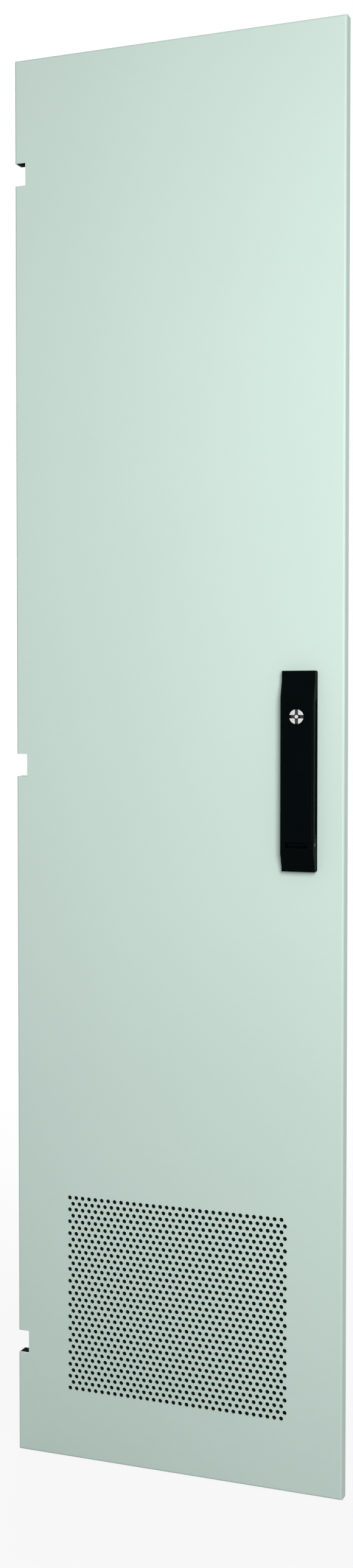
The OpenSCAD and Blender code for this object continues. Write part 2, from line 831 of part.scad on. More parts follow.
module cover_screws() {
  hung() color([0.75, 0.76, 0.78])
    translate([handle_x, 0, spindle_z])
      for (p = cover_points)
        translate([p[0], 0, p[1]]) {
          bar_y(2.5, cover_y - 6, cover_y + cover_t);
          bar_y(5.6, cover_y + cover_t, cover_y + cover_t + 1.8);
        }
}

// Involute function of an angle in degrees.
function involute(a) = tan(a) - a * PI / 180;

// Half a tooth's thickness at radius r, as an angle.
function half_angle(r) =
  90 / pinion_n - backlash / pitch_r * 90 / PI
  + (involute(pressure) - involute(acos(min(1, base_r / r)))) * 180 / PI;

// The pinion's outline, with a gap between teeth on the side of each rack.
module pinion_outline() {
  circle(root_r + 0.01, $fn = 64);
  for (k = [0 : pinion_n - 1])
    rotate(k * 360 / pinion_n + 180 / pinion_n)
      polygon(concat(
        [[0.5 * root_r, -0.5 * root_r * sin(half_angle(tooth_steps[0]))]],
        [for (r = tooth_steps) r * [cos(half_angle(r)), -sin(half_angle(r))]],
        [for (i = [4 : -1 : 0]) let (r = tooth_steps[i]) r * [cos(half_angle(r)), sin(half_angle(r))]],
        [[0.5 * root_r, 0.5 * root_r * sin(half_angle(tooth_steps[0]))]]));
}

module pinion() {
  hung() color([0.62, 0.63, 0.64])
    translate([handle_x, 0, spindle_z])
      difference() {
        union() {
          translate([0, gear_y, 0]) rotate([-90, 0, 0]) linear_extrude(tooth_w) pinion_outline();
          bar_y(2 * journal_r, trough_y - 5, cover_y + cover_t + 0.2);
          bar_y(2 * journal_r + 3, trough_y + 0.1, cover_y - 0.2);
        }
        translate([-spindle_s / 2, 0, -spindle_s / 2]) cube([spindle_s, 2 * cover_y, spindle_s]);
      }
}

// A rack with its teeth towards the spindle; it thins at its upper end to take the rod.
module rack() {
  half_root = tooth_p / 4 + dedendum * tan(pressure) - backlash / 2;
  half_tip = tooth_p / 4 - tooth_m * tan(pressure) - backlash / 2;
  difference() {
    translate([0, gear_y + tooth_w, 0]) rotate([90, 0, 0]) linear_extrude(tooth_w) {
      translate([-rack_back, rack_low])
        square([rack_back - pitch_r - dedendum, lap_end - rack_low]);
      for (k = [0 : rack_n - 1])
        translate([-pitch_r, rack_low + (k + 0.5) * tooth_p + rack_shift])
          polygon([[-dedendum - 0.05, -half_root], [tooth_m, -half_tip],
                   [tooth_m, half_tip], [-dedendum - 0.05, half_root]]);
    }
    translate([-rack_back - over, rod_y - play, lap_start - 0.5])
      cube([2 * rack_back, 2 * rod_t, case_half]);
    translate([-rivet_u, 0, rivet_w]) bar_y(3.1, gear_y - over, rod_y + over);
  }
}

module rivet() {
  translate([-rivet_u, 0, rivet_w]) {
    bar_y(3, gear_y, rod_y + rod_t);
  }
}

// A flat rod from the rack out to z, measured from the spindle.
module rod(z) {
  difference() {
    translate([-rack_back, rod_y, lap_start]) cube([rod_w, rod_t, z - lap_start]);
    translate([-rivet_u, 0, rivet_w]) bar_y(3.1, rod_y - over, rod_y + rod_t + over);
  }
}

// The bevelled tip that slides behind the cabinet's frame, on the end of a rod at z.
module rod_tip(z) {
  y0 = rod_y - 1;
  y1 = rod_y + rod_t + 1.2;
  translate([-rod_u, 0, z])
    difference() {
      across(rod_w + 4)
        polygon([[y0, -tip_l + 6], [y0, 0], [y1 - 1, 6], [y1, 5], [y1, -tip_l + 6]]);
      translate([-rod_w / 2 - play / 2, rod_y - play / 2, -tip_l])
        cube([rod_w + play, rod_t + play, tip_l + play / 2]);
    }
}

// Places the upper rod's pieces; the lower rod's are the same, turned half way round the spindle.
module at_upper() {
  translate([handle_x, 0, spindle_z]) children();
}
module at_lower() {
  translate([handle_x, 0, spindle_z]) rotate([0, 180, 0]) children();
}

module upper_rack() { hung() color([0.66, 0.67, 0.68]) at_upper() rack(); }
module lower_rack() { hung() color([0.66, 0.67, 0.68]) at_lower() rack(); }
module upper_rod() { hung() color([0.75, 0.76, 0.77]) at_upper() rod(upper_len); }
module lower_rod() { hung() color([0.75, 0.76, 0.77]) at_lower() rod(lower_len); }
module upper_rivet() { hung() color([0.78, 0.79, 0.80]) at_upper() rivet(); }
module lower_rivet() { hung() color([0.78, 0.79, 0.80]) at_lower() rivet(); }
module upper_tip() { hung() color([0.10, 0.10, 0.11]) at_upper() rod_tip(upper_len); }
module lower_tip() { hung() color([0.10, 0.10, 0.11]) at_lower() rod_tip(lower_len); }

// The latch cam behind the cover, pointing past the door's edge fold.
module latch_cam() {
  hung() color([0.72, 0.73, 0.74])
    translate([handle_x, 0, spindle_z])
      difference() {
        union() {
          bar_y(latch_hub_d, latch_y, latch_y + latch_t);
          translate([0, latch_y, -latch_w / 2]) cube([latch_l - latch_w / 2, latch_t, latch_w]);
          translate([latch_l - latch_w / 2, 0, 0]) bar_y(latch_w, latch_y, latch_y + latch_t);
        }
        translate([-spindle_s / 2, 0, -spindle_s / 2]) cube([spindle_s, 2 * latch_y, spindle_s]);
      }
}

module latch_washer() {
  hung() color([0.78, 0.79, 0.80])
    translate([handle_x, 0, spindle_z]) flat_washer(16, 5.3, spindle_back, washer_t);
}

module latch_screw() {
  hung() color([0.75, 0.76, 0.78])
    translate([handle_x, 0, spindle_z]) {
      bar_y(thread_d - play, spindle_back - 9, spindle_back + washer_t);
      difference() {
        bar_y(8.5, spindle_back + washer_t, spindle_back + washer_t + 3);
        translate([0, spindle_back + washer_t + 1.5, 0])
          rotate([-90, 0, 0]) cylinder(d = 4 / cos(30), h = 3, $fn = 6);
      }
    }
}

// ---------------------------------------------------------------- rod guides

// A moulded guide: a foot on the leaf, an open middle and a slot for the rod.
module rod_guide(i) {
  hung() color([0.08, 0.08, 0.09])
    translate([guides[i][0], 0, guides[i][1]]) {
      difference() {
        union() {
          upright(-guide_h / 2, guide_h)
            translate([-guide_w / 2, sheet_t]) round_rect(guide_w, guide_back - sheet_t, 1.5);
          translate([-guide_w / 2, sheet_t, -guide_foot / 2]) cube([guide_w, guide_foot_t, guide_foot]);
        }
        upright(-guide_h / 2 - over, guide_h + 2 * over) {
          translate([-guide_w / 2 + guide_wall, sheet_t + guide_foot_t])
            square([guide_w - 2 * guide_wall, rod_y - sheet_t - guide_foot_t - guide_wall]);
          translate([-rod_w / 2 - rod_play, rod_y - rod_play])
            square([rod_w + 2 * rod_play, rod_t + 2 * rod_play]);
        }
        for (s = [-1, 1])
          translate([0, 0, s * guide_stud_up]) bar_y(guide_stud_d + 2 * stud_play, 0, sheet_t + guide_foot_t + over);
      }
    }
}

module guide_studs() {
  hung() color([0.75, 0.76, 0.78])
    for (g = guides, s = [-1, 1])
      translate([g[0], 0, g[1] + s * guide_stud_up]) bar_y(guide_stud_d, sheet_t, sheet_t + guide_stud_l);
}

module guide_nuts() {
  hung() color([0.78, 0.79, 0.80])
    for (g = guides, s = [-1, 1])
      translate([g[0], 0, g[1] + s * guide_stud_up])
        hex_nut(guide_nut_s, guide_stud_d + play, sheet_t + guide_foot_t, guide_nut_t);
}

// ---------------------------------------------------------------- nodes

door_panel();
foam_seal();
upright_rail();
cross_stiffener(0);  // cross_stiffener_1
cross_stiffener(1);  // cross_stiffener_2
cross_stiffener(2);  // cross_stiffener_3
filter_mat();
filter_frame();
filter_studs();
filter_nuts();
earth_stud();
earth_washer();
earth_nut();
corner_buffer(0);  // corner_buffer_1
corner_buffer(1);  // corner_buffer_2
handle_base();
base_screw();
base_washer();
handle_hub();
spindle();
lever_pin();
lever();
lock_housing();
lock_plug();
lock_cam();
cam_screw();
lock_case();
case_screws();
case_cover();
cover_screws();
pinion();
latch_cam();
latch_washer();
latch_screw();
upper_rack();
upper_rod();
upper_rivet();
upper_tip();
lower_rack();
lower_rod();
lower_rivet();
lower_tip();
rod_guide(0);  // rod_guide_1
rod_guide(1);  // rod_guide_2
rod_guide(2);  // rod_guide_3
rod_guide(3);  // rod_guide_4
guide_studs();
guide_nuts();
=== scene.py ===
# %% [markdown]
# A ventilated cabinet door, dressed for rendering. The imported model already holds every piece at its
# real size, so this lesson adds what the eye wants: paint with a faint texture, zinc, moulded plastic,
# rounded edges, screw threads, spot welds and a soft studio. The frame is loaded first, because every
# place comes from it.

# %% Load the frame
import json
import math

import bmesh
import bpy
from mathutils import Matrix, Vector, noise


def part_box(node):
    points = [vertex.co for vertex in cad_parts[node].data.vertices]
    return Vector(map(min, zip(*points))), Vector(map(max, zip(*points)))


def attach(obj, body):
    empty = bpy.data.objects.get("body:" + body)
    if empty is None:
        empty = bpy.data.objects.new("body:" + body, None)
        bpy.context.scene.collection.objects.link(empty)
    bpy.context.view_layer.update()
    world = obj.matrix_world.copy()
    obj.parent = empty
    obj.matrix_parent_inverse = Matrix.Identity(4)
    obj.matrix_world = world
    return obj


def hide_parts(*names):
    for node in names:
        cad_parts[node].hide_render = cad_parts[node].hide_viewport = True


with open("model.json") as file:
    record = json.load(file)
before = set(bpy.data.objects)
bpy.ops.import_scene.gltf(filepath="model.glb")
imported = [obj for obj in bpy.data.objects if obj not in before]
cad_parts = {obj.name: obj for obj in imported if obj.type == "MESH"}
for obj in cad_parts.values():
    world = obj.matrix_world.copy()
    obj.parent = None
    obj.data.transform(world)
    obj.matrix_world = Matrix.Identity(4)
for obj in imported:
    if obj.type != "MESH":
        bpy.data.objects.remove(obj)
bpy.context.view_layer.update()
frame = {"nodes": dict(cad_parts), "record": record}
scene = bpy.context.scene
nodes = frame["nodes"]
SLOT_OF = {row["node"]: row["material_slot"] for row in frame["record"]["subparts"]}
BODY_OF = {node: body for body, members in frame["record"]["behaviour"]["bodies"].items() for node in members}
leaf_low, leaf_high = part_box("door_panel")
leaf_mid = (leaf_low + leaf_high) / 2
print("leaf", [round(c, 3) for c in leaf_high - leaf_low], "m")

# %% [markdown]
# A door is a flat thing, so it needs a view from one side to show its folded edge. The camera stands
# near eye level on the handle side and looks slightly down, with a normal lens, as in a catalogue. Its
# place is worked out from the leaf's own box, from an angle, a tilt and a distance.

# %% Camera
VIEW_SIDE = math.radians(21.53)
VIEW_DOWN = math.radians(2.23)
VIEW_DISTANCE = 2.573
AIM_HEIGHT = 0.9761     # above the leaf's foot
AIM_SIDE = 0.0025       # beside its middle
SENSOR = 36.0           # in millimetres, along the frame's height
LENS = 42.41            # in millimetres

aim = Vector((leaf_mid.x + AIM_SIDE, leaf_low.y, leaf_low.z + AIM_HEIGHT))
look = Vector((
    -math.sin(VIEW_SIDE) * math.cos(VIEW_DOWN),
    math.cos(VIEW_SIDE) * math.cos(VIEW_DOWN),
    -math.sin(VIEW_DOWN),
))
camera_data = bpy.data.cameras.new("camera")
camera_data.sensor_fit = "VERTICAL"
camera_data.sensor_height = SENSOR
camera_data.lens = LENS
camera = bpy.data.objects.new("camera", camera_data)
camera.location = aim - look * VIEW_DISTANCE
camera.rotation_euler = look.to_track_quat("-Z", "Y").to_euler()
scene.collection.objects.link(camera)
scene.camera = camera
scene.view_settings.view_transform = "Standard"
print("camera at", [round(c, 3) for c in camera.location])

# %% [markdown]
# The studio is a pale floor under a white surround. Two soft lamps light the door: a tall one in front,
# on the handle side and rather high, so that the paint fades towards the foot and the folded edge gets
# a bright line, and one behind for the hidden side. The floor shows white to the camera through Light
# Path and still takes the door's shadow, so no lamp has to be turned up to whiten the background.

# %% Helpers for the studio
def new_material(name):
    """A material with its node tree and its Principled shader."""
    material = bpy.data.materials.new(name)
    material.use_nodes = True
    tree = material.node_tree
    return material, tree, tree.nodes["Principled BSDF"]


def reckon(tree, operation, *values):
    """One Math node. A value is a number or a socket; the result is a socket."""
    node = tree.nodes.new("ShaderNodeMath")
    node.operation = operation
    for socket, value in zip(node.inputs, values):
        if isinstance(value, (int, float)):
            socket.default_value = value
        else:
            tree.links.new(value, socket)
    return node.outputs[0]


def seen_directly(tree):
    """1 for what the camera sees, straight or in a glossy surface, and 0 for light on its way."""
    light_path = tree.nodes.new("ShaderNodeLightPath")
    return reckon(tree, "MAXIMUM", light_path.outputs["Is Camera Ray"], light_path.outputs["Is Glossy Ray"])


def area_lamp(name, place, target, width, height, power):
    """A rectangular lamp at place that faces target. Sizes are in metres, power in watts."""
    data = bpy.data.lights.new(name, "AREA")
    data.shape = "RECTANGLE"
    data.size = width
    data.size_y = height
    data.energy = power
    lamp = bpy.data.objects.new(name, data)
    lamp.location = place
    lamp.rotation_euler = (target - place).to_track_quat("-Z", "Y").to_euler()
    scene.collection.objects.link(lamp)


# %% Floor
FLOOR_SIZE = 24
FLOOR_GAP = 0.002
FLOOR_GREY = 0.45       # what it throws back at the door
WHITE_NEAR = 0.90       # how white the camera sees it by the door; the rest takes the shadow
FADE_START = 0.4
FADE_END = 3.0

bpy.ops.mesh.primitive_plane_add(size=FLOOR_SIZE, location=(leaf_mid.x, leaf_mid.y, leaf_low.z - FLOOR_GAP))
floor = bpy.context.object
floor.name = "studio_floor"
floor_material, tree, shader = new_material("studio_floor")
shader.inputs["Base Color"].default_value = (FLOOR_GREY, FLOOR_GREY, FLOOR_GREY, 1)
shader.inputs["Roughness"].default_value = 0.9
shader.inputs["Specular IOR Level"].default_value = 0.1
place = tree.nodes.new("ShaderNodeTexCoord")
distance = tree.nodes.new("ShaderNodeVectorMath")
distance.operation = "LENGTH"
tree.links.new(place.outputs["Object"], distance.inputs[0])
whiteness = tree.nodes.new("ShaderNodeMapRange")
whiteness.interpolation_type = "SMOOTHSTEP"
whiteness.inputs["From Min"].default_value = FADE_START
whiteness.inputs["From Max"].default_value = FADE_END
whiteness.inputs["To Min"].default_value = WHITE_NEAR
whiteness.inputs["To Max"].default_value = 1.0
tree.links.new(distance.outputs["Value"], whiteness.inputs["Value"])
share = reckon(tree, "MULTIPLY", seen_directly(tree), whiteness.outputs["Result"])
white = tree.nodes.new("ShaderNodeEmission")
blend = tree.nodes.new("ShaderNodeMixShader")
tree.links.new(share, blend.inputs["Fac"])
tree.links.new(shader.outputs["BSDF"], blend.inputs[1])
tree.links.new(white.outputs["Emission"], blend.inputs[2])
tree.links.new(blend.outputs["Shader"], tree.nodes["Material Output"].inputs["Surface"])
floor.data.materials.append(floor_material)

# %% World and lamps
WORLD_LIGHT = 0.30      # what the surround gives the door; the camera sees it at 1, which is white

world = bpy.data.worlds.new("studio")
scene.world = world
world.use_nodes = True
tree = world.node_tree
background = tree.nodes["Background"]
background.inputs["Color"].default_value = (1, 1, 1, 1)
strength = tree.nodes.new("ShaderNodeMapRange")
strength.inputs["To Min"].default_value = WORLD_LIGHT
strength.inputs["To Max"].default_value = 1.0
tree.links.new(seen_directly(tree), strength.inputs["Value"])
tree.links.new(strength.outputs["Result"], background.inputs["Strength"])

area_lamp("key", place=leaf_mid + Vector((1.15, -1.9, 0.5)), target=leaf_mid + Vector((0, 0, 0.45)),
          width=0.8, height=1.2, power=44.5)
area_lamp("rear", place=leaf_mid + Vector((-1.4, 2.6, 1.0)), target=leaf_mid,
          width=1.6, height=2.4, power=50)
print("studio ready, floor at", round(floor.location.z, 3))

# %% [markdown]
# Fine texture turns up in most finishes: the orange peel of powder paint, the grain of moulded plastic,
# the spangle of zinc. One shader group serves them all. It reads Object coordinates, so it stays put on
# the piece, and gives slow patches or crystals for the colour and a fine grain for roughness and bump.

# %% A surface texture shared by every finish
def texture_group():
    """Mottle: slow patches. Flake: crystals, each of one shade. Grain: fine height."""
    group = bpy.data.node_groups.new("surface_texture", "ShaderNodeTree")
    for name, value in (("Patch Size", 0.2), ("Grain Size", 0.001), ("Stretch", 1.0)):
        socket = group.interface.new_socket(name, in_out="INPUT", socket_type="NodeSocketFloat")
        socket.default_value = value
    for name in ("Mottle", "Grain", "Flake"):
        group.interface.new_socket(name, in_out="OUTPUT", socket_type="NodeSocketFloat")
    source = group.nodes.new("NodeGroupInput")
    result = group.nodes.new("NodeGroupOutput")
    place = group.nodes.new("ShaderNodeTexCoord")
    stretch = group.nodes.new("ShaderNodeCombineXYZ")
    stretch.inputs["X"].default_value = 1
    stretch.inputs["Y"].default_value = 1
    group.links.new(source.outputs["Stretch"], stretch.inputs["Z"])
    scaled = group.nodes.new("ShaderNodeVectorMath")
    scaled.operation = "MULTIPLY"
    group.links.new(place.outputs["Object"], scaled.inputs[0])
    group.links.new(stretch.outputs["Vector"], scaled.inputs[1])
    patches = reckon(group, "DIVIDE", 1, source.outputs["Patch Size"])
    grains = reckon(group, "DIVIDE", 1, source.outputs["Grain Size"])
    for name, per_metre, detail in (("Mottle", patches, 3), ("Grain", grains, 2)):
        cloud = group.nodes.new("ShaderNodeTexNoise")
        cloud.inputs["Detail"].default_value = detail
        group.links.new(scaled.outputs["Vector"], cloud.inputs["Vector"])
        group.links.new(per_metre, cloud.inputs["Scale"])
        group.links.new(cloud.outputs["Fac"], result.inputs[name])
    crystals = group.nodes.new("ShaderNodeTexVoronoi")
    group.links.new(scaled.outputs["Vector"], crystals.inputs["Vector"])
    group.links.new(patches, crystals.inputs["Scale"])
    shade = group.nodes.new("ShaderNodeSeparateColor")
    group.links.new(crystals.outputs["Color"], shade.inputs["Color"])
    group.links.new(shade.outputs["Red"], result.inputs["Flake"])
    return group


SURFACE = texture_group()
print("surface texture,", len(SURFACE.nodes), "nodes")


def linear(red, green, blue):
    """A colour picked on screen, from 0 to 255, as linear light."""
    def channel(value):
        value /= 255
        return value / 12.92 if value <= 0.04045 else ((value + 0.055) / 1.055) ** 2.4
    return [channel(red), channel(green), channel(blue)]


def finish(name, colour, mottle, patch, roughness, spread, grain, height,
           metallic=0.0, stretch=1.0, specular=0.5, flake=0.0):
    """A material: colour that drifts by mottle, roughness that drifts by spread, and a fine bump.
    Flake is the share of the drift that jumps from crystal to crystal, as on galvanised sheet."""
    material, tree, shader = new_material(name)
    texture = tree.nodes.new("ShaderNodeGroup")
    texture.node_tree = SURFACE
    texture.inputs["Patch Size"].default_value = patch
    texture.inputs["Grain Size"].default_value = grain
    texture.inputs["Stretch"].default_value = stretch
    ramp = tree.nodes.new("ShaderNodeValToRGB")
    dark, pale = ramp.color_ramp.elements
    dark.position, pale.position = 0.3, 0.7         # noise seldom goes further
    dark.color = [c * (1 - mottle) for c in colour] + [1]
    pale.color = [min(1, c * (1 + mottle)) for c in colour] + [1]
    drift = tree.nodes.new("ShaderNodeMix")
    drift.inputs["Factor"].default_value = flake
    tree.links.new(texture.outputs["Mottle"], drift.inputs["A"])
    tree.links.new(texture.outputs["Flake"], drift.inputs["B"])
    tree.links.new(drift.outputs["Result"], ramp.inputs["Fac"])
    tree.links.new(ramp.outputs["Color"], shader.inputs["Base Color"])
    rough = tree.nodes.new("ShaderNodeMapRange")
    rough.inputs["To Min"].default_value = roughness - spread
    rough.inputs["To Max"].default_value = roughness + spread
    tree.links.new(texture.outputs["Grain"], rough.inputs["Value"])
    tree.links.new(rough.outputs["Result"], shader.inputs["Roughness"])
    bump = tree.nodes.new("ShaderNodeBump")
    bump.inputs["Distance"].default_value = height
    tree.links.new(texture.outputs["Grain"], bump.inputs["Height"])
    tree.links.new(bump.outputs["Normal"], shader.inputs["Normal"])
    shader.inputs["Metallic"].default_value = metallic
    shader.inputs["Specular IOR Level"].default_value = specular
    return material


# %% [markdown]
# Paint is nearly all that shows: a pale green-grey powder coat with a soft skin. The other finishes are
# those of the fittings: galvanised sheet, zinc-plated screws, machined steel, satin die casting, black
# moulded plastic, rubber, foam and fleece. Each slot of the record gets one. Most of the numbers are
# small: a few hundredths of drift and a bump of hundredths of a millimetre are enough.

# %% A finish for every slot
# after the colour: its drift, the patch's size, roughness and its spread, the grain's size and height
FINISHES = {
    "powder_coat": finish("powder_coat", linear(203, 223, 215), 0.010, 0.25, 0.46, 0.05, 0.0011, 0.00004,
                          specular=0.35),
    "zinc_sheet": finish("zinc_sheet", linear(160, 165, 168), 0.08, 0.0045, 0.42, 0.10, 0.004, 0.00001,
                         metallic=0.85, flake=0.6),
    "zinc_rod": finish("zinc_rod", linear(166, 170, 174), 0.10, 0.004, 0.36, 0.10, 0.0006, 0.00001,
                       metallic=0.95, stretch=0.03),
    "zinc_bolt": finish("zinc_bolt", linear(192, 194, 196), 0.05, 0.004, 0.30, 0.06, 0.0006, 0.00001,
                        metallic=1.0),
    "bright_steel": finish("bright_steel", linear(165, 166, 168), 0.06, 0.006, 0.32, 0.08, 0.0005, 0.00001,
                           metallic=1.0),
    "brass_bolt": finish("brass_bolt", linear(205, 168, 92), 0.05, 0.004, 0.30, 0.06, 0.0006, 0.00001,
                         metallic=1.0),
    "die_cast": finish("die_cast", linear(214, 219, 216), 0.04, 0.004, 0.26, 0.06, 0.0004, 0.00001,
                       metallic=0.95),
    "grey_casting": finish("grey_casting", linear(120, 122, 125), 0.06, 0.01, 0.5, 0.08, 0.0008, 0.00003,
                           metallic=0.7),
    "black_plastic": finish("black_plastic", linear(3, 7, 8), 0.08, 0.02, 0.42, 0.07, 0.0007, 0.00003,
                            specular=0.015),
    "black_rubber": finish("black_rubber", linear(22, 22, 22), 0.1, 0.01, 0.75, 0.06, 0.0006, 0.00003),
    "foam": finish("foam", linear(34, 34, 36), 0.15, 0.006, 0.85, 0.05, 0.0012, 0.0001),
    # the fleece is black, and its near-black colour is partly painted shade seen through the vent holes
    "filter_fleece": finish("filter_fleece", linear(22, 24, 24), 0.45, 0.002, 0.95, 0.04, 0.0006, 0.0004,
                            specular=0.0),
}

# the rod guides and rod tips are of a waxier plastic than the handle and catch a little more light
NYLON = finish("black_nylon", linear(17, 18, 19), 0.08, 0.02, 0.5, 0.08, 0.0007, 0.00003, specular=0.2)

for name, node in nodes.items():
    node.data.materials.clear()
    node.data.materials.append(FINISHES[SLOT_OF[name]])
print(len(nodes), "nodes dressed in", len(FINISHES), "finishes")

# %% [markdown]
# Two places get painted shade, darker than the finish round them. The key well is painted near black as
# painted shade, so that the plug's four bright quarters stand out, and the leaf's narrow upright folds are
# painted darker as painted shade inside their hollows. Neither place is a solid of its own that could wear
# another material. A mask made from the place of each point finds them instead, and mixes the painted shade
# in.

# %% Painted shade within a finish
def place_axis(tree, axis):
    """The X, Y or Z place of the shaded point."""
    place = tree.nodes.new("ShaderNodeTexCoord")
    parts = tree.nodes.new("ShaderNodeSeparateXYZ")
    tree.links.new(place.outputs["Object"], parts.inputs["Vector"])
    return parts.outputs[axis]


def between(tree, socket, start, end):
    """1 where the socket's value lies between two places."""
    return reckon(tree, "COMPARE", socket, (start + end) / 2, (end - start) / 2)


def paint_shade_where(tree, mask, colour):
    """Mix a painted shade over the finish wherever the mask is 1."""
    base = tree.nodes["Principled BSDF"].inputs["Base Color"]
    darker = tree.nodes.new("ShaderNodeMix")
    darker.data_type = "RGBA"
    tree.links.new(mask, darker.inputs["Factor"])
    tree.links.new(base.links[0].from_socket, darker.inputs["A"])
    darker.inputs["B"].default_value = colour + [1]
    tree.links.new(darker.outputs["Result"], base)


WELL_DEPTH = 0.0004             # the well starts this far behind the plug's face
# painted shade: the key well behind the plug's face is painted near black and loses its metal, where shade
# falls in the slots
WELL_PAINTED_SHADE = [0.006, 0.007, 0.007]
tree = FINISHES["die_cast"].node_tree
metallic = tree.nodes["Principled BSDF"].inputs["Metallic"]
painted_shade_in_well = reckon(tree, "GREATER_THAN", place_axis(tree, "Y"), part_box("lock_plug")[0].y + WELL_DEPTH)
paint_shade_where(tree, painted_shade_in_well, WELL_PAINTED_SHADE)
metallic_out_of_shade = reckon(tree, "MULTIPLY", metallic.default_value, reckon(tree, "SUBTRACT", 1, painted_shade_in_well))
tree.links.new(metallic_out_of_shade, metallic)

# painted shade: inside the leaf's upright folds the paint is darkened where the hollow lies in shade
FOLD_IN = (0.0014, 0.0145)      # from the leaf's side edge
FOLD_BACK = (0.0020, 0.0186)    # from its front face
FOLD_PAINTED_SHADE = linear(38, 44, 42)
tree = FINISHES["powder_coat"].node_tree
half_width = (leaf_high.x - leaf_low.x) / 2
off_middle = reckon(tree, "ABSOLUTE", reckon(tree, "SUBTRACT", place_axis(tree, "X"), leaf_mid.x))
across = between(tree, off_middle, half_width - FOLD_IN[1], half_width - FOLD_IN[0])
deep = between(tree, place_axis(tree, "Y"), leaf_low.y + FOLD_BACK[0], leaf_low.y + FOLD_BACK[1])
tall = between(tree, place_axis(tree, "Z"), leaf_low.z + FOLD_IN[0], leaf_high.z - FOLD_IN[0])
painted_shade_in_fold = reckon(tree, "MULTIPLY", across, reckon(tree, "MULTIPLY", deep, tall))
paint_shade_where(tree, painted_shade_in_fold, FOLD_PAINTED_SHADE)

# %% [markdown]
# Real edges are never sharp: a moulding has its radius, a turned part its chamfer, a stamped plate its
# rolled burr. The bevel could be faked in the shader, but then the outline stays sharp, so each piece
# is rebuilt from its own solid. Its loose triangles are merged, flat ones are joined into whole faces,
# and the Bevel modifier rounds what is left. Weighted normals keep the flats flat.

# %% Rounding the edges of a piece
FLAT_ANGLE = math.radians(0.5)
EDGE_ANGLE = math.radians(32)
MERGE_GAP = 1e-6


def merged(node_name):
    """A clean bmesh of a node: merged corners and whole flat faces."""
    shape = bmesh.new()
    shape.from_mesh(nodes[node_name].data)
    bmesh.ops.remove_doubles(shape, verts=shape.verts, dist=MERGE_GAP)
    bmesh.ops.dissolve_limit(shape, angle_limit=FLAT_ANGLE, verts=shape.verts, edges=shape.edges,
                             delimit={"NORMAL"})
    return shape


def piece_from(shape, name, body, slot):
    """Turns a bmesh into a piece that rides on a body and wears a slot's finish."""
    mesh = bpy.data.meshes.new(name)
    shape.to_mesh(mesh)
    shape.free()
    mesh.materials.append(FINISHES[slot])
    piece = bpy.data.objects.new(name, mesh)
    scene.collection.objects.link(piece)
    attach(piece, body)
    return piece


def settle(piece):
    """Replaces a piece's mesh by what its modifiers make of it."""
    depsgraph = bpy.context.evaluated_depsgraph_get()
    result = bpy.data.meshes.new_from_object(piece.evaluated_get(depsgraph))
    piece.modifiers.clear()
    piece.data = result


def rounded(node_name, radius):
    """The node's own solid with its sharp edges rounded; it stands for the node."""
    piece = piece_from(merged(node_name), "round_" + node_name, BODY_OF[node_name], SLOT_OF[node_name])
    for face in piece.data.polygons:
        face.use_smooth = True
    bevel = piece.modifiers.new("edge", "BEVEL")
    bevel.width = radius
    bevel.segments = 2
    bevel.limit_method = "ANGLE"
    bevel.angle_limit = EDGE_ANGLE
    bevel.miter_outer = "MITER_ARC"
    flats = piece.modifiers.new("flats", "WEIGHTED_NORMAL")
    flats.weight = 100
    settle(piece)
    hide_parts(node_name)
    return piece


# %% Rounded handle, lock, rods and plates
EDGE_RADIUS = {
    "handle_base": 0.0006, "handle_hub": 0.0005, "lever": 0.0006,
    "lock_housing": 0.0006, "lock_plug": 0.00025, "lock_cam": 0.0002,
    "lock_case": 0.0006, "case_cover": 0.0003, "pinion": 0.00012, "spindle": 0.0003,
    "latch_cam": 0.0004, "latch_washer": 0.0002, "base_washer": 0.0002, "earth_washer": 0.0002,
    "upper_rack": 0.00015, "lower_rack": 0.00015, "upper_rod": 0.0004, "lower_rod": 0.0004,
    "upper_tip": 0.0006, "lower_tip": 0.0006,
    "rod_guide_1": 0.0005, "rod_guide_2": 0.0005, "rod_guide_3": 0.0005, "rod_guide_4": 0.0005,
    "corner_buffer_1": 0.0003, "corner_buffer_2": 0.0003,
    "filter_frame": 0.0003, "upright_rail": 0.0003,
    "cross_stiffener_1": 0.0003, "cross_stiffener_2": 0.0003, "cross_stiffener_3": 0.0003,
}
for name, radius in EDGE_RADIUS.items():
    piece = rounded(name, radius)
    if name.startswith("rod_guide") or name.endswith("_tip"):
        piece.data.materials[0] = NYLON
    print(piece.name, len(piece.data.polygons), "faces")

# %% [markdown]
# The door's small hardware repeats: six nuts on the filter frame, eight on the rod guides, four screws on
# the lock's cover. Each kind is drawn once, as rings turned about an axis, and a Geometry Nodes tree sets
# a copy of it at every place. The places are read from the solids, so no copy can drift off its seat.

# %% Places of the small solids
def solids_of(node_name):
    """The corner vectors (low, high) of every separate solid in a node, from the bottom upwards."""
    shape = bmesh.new()
    shape.from_mesh(nodes[node_name].data)
    bmesh.ops.remove_doubles(shape, verts=shape.verts, dist=MERGE_GAP)
    waiting = set(shape.verts)
    boxes = []
    while waiting:
        first = waiting.pop()
        group, border = [first], [first]
        while border:
            vert = border.pop()
            for edge in vert.link_edges:
                other = edge.other_vert(vert)
                if other in waiting:
                    waiting.discard(other)
                    group.append(other)
                    border.append(other)
        low = Vector([min(v.co[axis] for v in group) for axis in range(3)])
        high = Vector([max(v.co[axis] for v in group) for axis in range(3)])
        boxes.append((low, high))
    shape.free()
    return sorted(boxes, key=lambda box: (round(box[0].z, 4), box[0].x))


def foot_of(box):
    """The point on a solid's axis at its front end, for a solid that stands along Y."""
    low, high = box
    return Vector(((low.x + high.x) / 2, low.y, (low.z + high.z) / 2))


print("filter nuts", len(solids_of("filter_nuts")), "guide nuts", len(solids_of("guide_nuts")))

